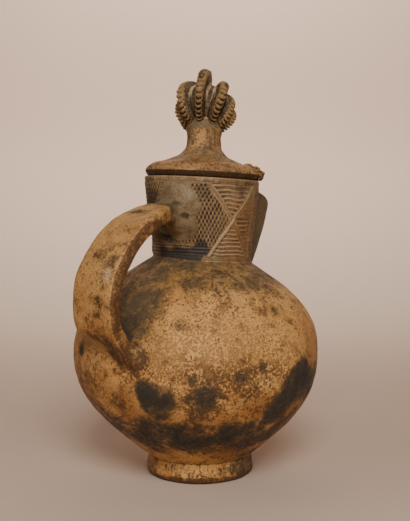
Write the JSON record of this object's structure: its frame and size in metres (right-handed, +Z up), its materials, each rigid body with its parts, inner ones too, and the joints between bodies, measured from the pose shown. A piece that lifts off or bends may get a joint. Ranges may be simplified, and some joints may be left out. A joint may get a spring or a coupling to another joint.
{
  "type": "lidded jug",
  "caption": "Round-bellied clay jug on a small foot, with incised neck, strap handle, beak spout and a loose lid whose knob is a small crested head.",
  "frame": {"origin": "middle of the foot's flat underside, on the surface the jug stands on", "axes": "+Z up, +X towards the spout, -X towards the handle, +Y completes the right-handed frame"},
  "size_m": [0.2165, 0.1964, 0.3248],
  "materials": {
    "ochre_clay": "burnished earthenware, fire-clouded",
    "brown_clay": "worn earthenware"
  },
  "bodies": {
    "root": {"jug": "ochre_clay", "lid": "brown_clay"}
  },
  "joints": []
}
